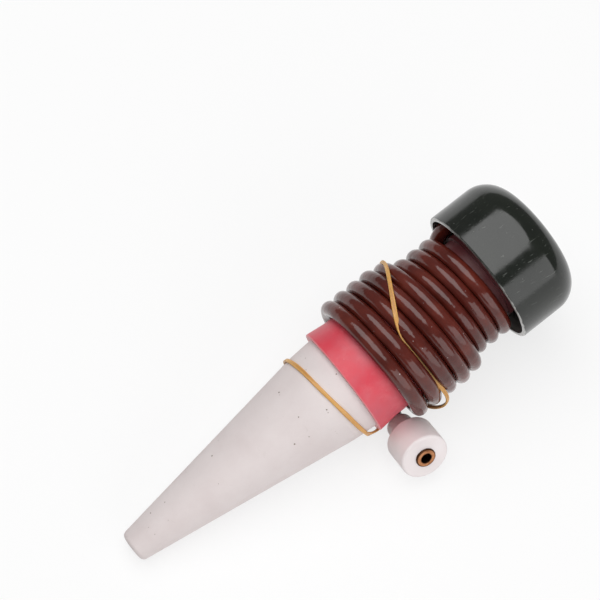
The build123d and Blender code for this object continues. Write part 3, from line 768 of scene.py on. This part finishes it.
white_clay, copper = pressed_clay(), rolled_copper()
print(white_clay.name, "and", copper.name, "have", len(white_clay.node_tree.nodes), "and",
      len(copper.node_tree.nodes), "nodes")

# %% [markdown]
# ## Finishes of the bands and of the rubber under the cap
# Latex bands are cut from a dipped tube: honey coloured, slightly see-through, with fine lines along them
# where the rubber was stretched. The stopper and its washer are plain black moulded rubber.

# %% Latex and black rubber
def cut_latex():
    # Natural latex ribbon: amber, satin, faint stretch lines along its length, paler with chalk powder
    material, tree, place = finish_named("cut_latex")
    laid = add(tree, "ShaderNodeUVMap", uv_map="along_band")
    stretched = add(tree, "ShaderNodeMapping", {"Vector": laid.outputs[0], "Scale": (0.8, 14.0, 1.0)})
    lines = add(tree, "ShaderNodeTexNoise", {"Vector": stretched.outputs[0], "Scale": 1.0, "Detail": 4.0})
    colour = add(tree, "ShaderNodeValToRGB", {"Fac": lines.outputs["Fac"]},
                 stops=[(0.3, "#B98444"), (0.5, "#D09B52"), (0.7, "#DDAE68")])
    powder = add(tree, "ShaderNodeTexNoise", {"Vector": place, "Scale": per(1.2), "Detail": 4.0})
    chalk = add(tree, "ShaderNodeMapRange",
                {"Value": powder.outputs["Fac"], "From Min": 0.55, "From Max": 0.8, "To Max": 0.25})
    powdered = add(tree, "ShaderNodeMix",
                   {0: chalk.outputs[0], 6: colour.outputs["Color"], 7: linear("#E2C79B")}, data_type="RGBA")
    ridges = add(tree, "ShaderNodeBump",
                 {"Height": lines.outputs["Fac"], "Strength": 0.3, "Distance": 0.00006})
    shader = add(tree, "ShaderNodeBsdfPrincipled", {
        "Base Color": powdered.outputs[2], "Roughness": 0.42, "Normal": ridges.outputs[0],
        "Subsurface Weight": 0.2, "Subsurface Radius": (1.0, 0.6, 0.3), "Subsurface Scale": 0.0006})
    add(tree, "ShaderNodeOutputMaterial", {"Surface": shader.outputs[0]})
    return material


def moulded_rubber():
    # Black rubber from a blasted mould: matt, a little grey with bloom, finely pebbled
    material, tree, place = finish_named("moulded_rubber")
    bloom_and_sheen = add(tree, "ShaderNodeTexNoise", {"Vector": place, "Scale": per(3), "Detail": 5.0})
    colour = add(tree, "ShaderNodeValToRGB", {"Fac": bloom_and_sheen.outputs["Fac"]},
                 stops=[(0.3, "#1E1E1E"), (0.55, "#262626"), (0.8, "#383735")])
    pebbles = add(tree, "ShaderNodeTexVoronoi", {"Vector": place, "Scale": per(0.5)})
    skin = add(tree, "ShaderNodeBump",
               {"Height": pebbles.outputs["Distance"], "Strength": 0.3, "Distance": 0.00005})
    roughness = add(tree, "ShaderNodeMapRange",
                    {"Value": bloom_and_sheen.outputs["Fac"], "To Min": 0.55, "To Max": 0.8})
    shader = add(tree, "ShaderNodeBsdfPrincipled",
                 {"Base Color": colour.outputs["Color"], "Roughness": roughness.outputs[0],
                  "Normal": skin.outputs[0]})
    add(tree, "ShaderNodeOutputMaterial", {"Surface": shader.outputs[0]})
    return material


latex, rubber = cut_latex(), moulded_rubber()
print(latex.name, "and", rubber.name, "have", len(latex.node_tree.nodes), "and",
      len(rubber.node_tree.nodes), "nodes")

# %% [markdown]
# ## Each piece gets its finish
# The fixed pieces keep their meshes and only get a material in place of the plain one they came with.

# %% Give out the finishes
finishes = {
    "ceramic_cone": clay, "neck_sleeve": sleeve_skin, "cap_shell": cap_skin,
    "weight_body": white_clay, "weight_ferrule": copper, "hose_nipple": copper,
    "neck_stopper": rubber, "neck_seal": rubber,
}
for node, material in finishes.items():
    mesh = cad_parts[node].data
    mesh.materials.clear()
    mesh.materials.append(material)
hose.data.materials.append(hose_skin)
coil_band.data.materials.append(latex)
cone_band.data.materials.append(latex)
print("finishes", sorted(finishes))
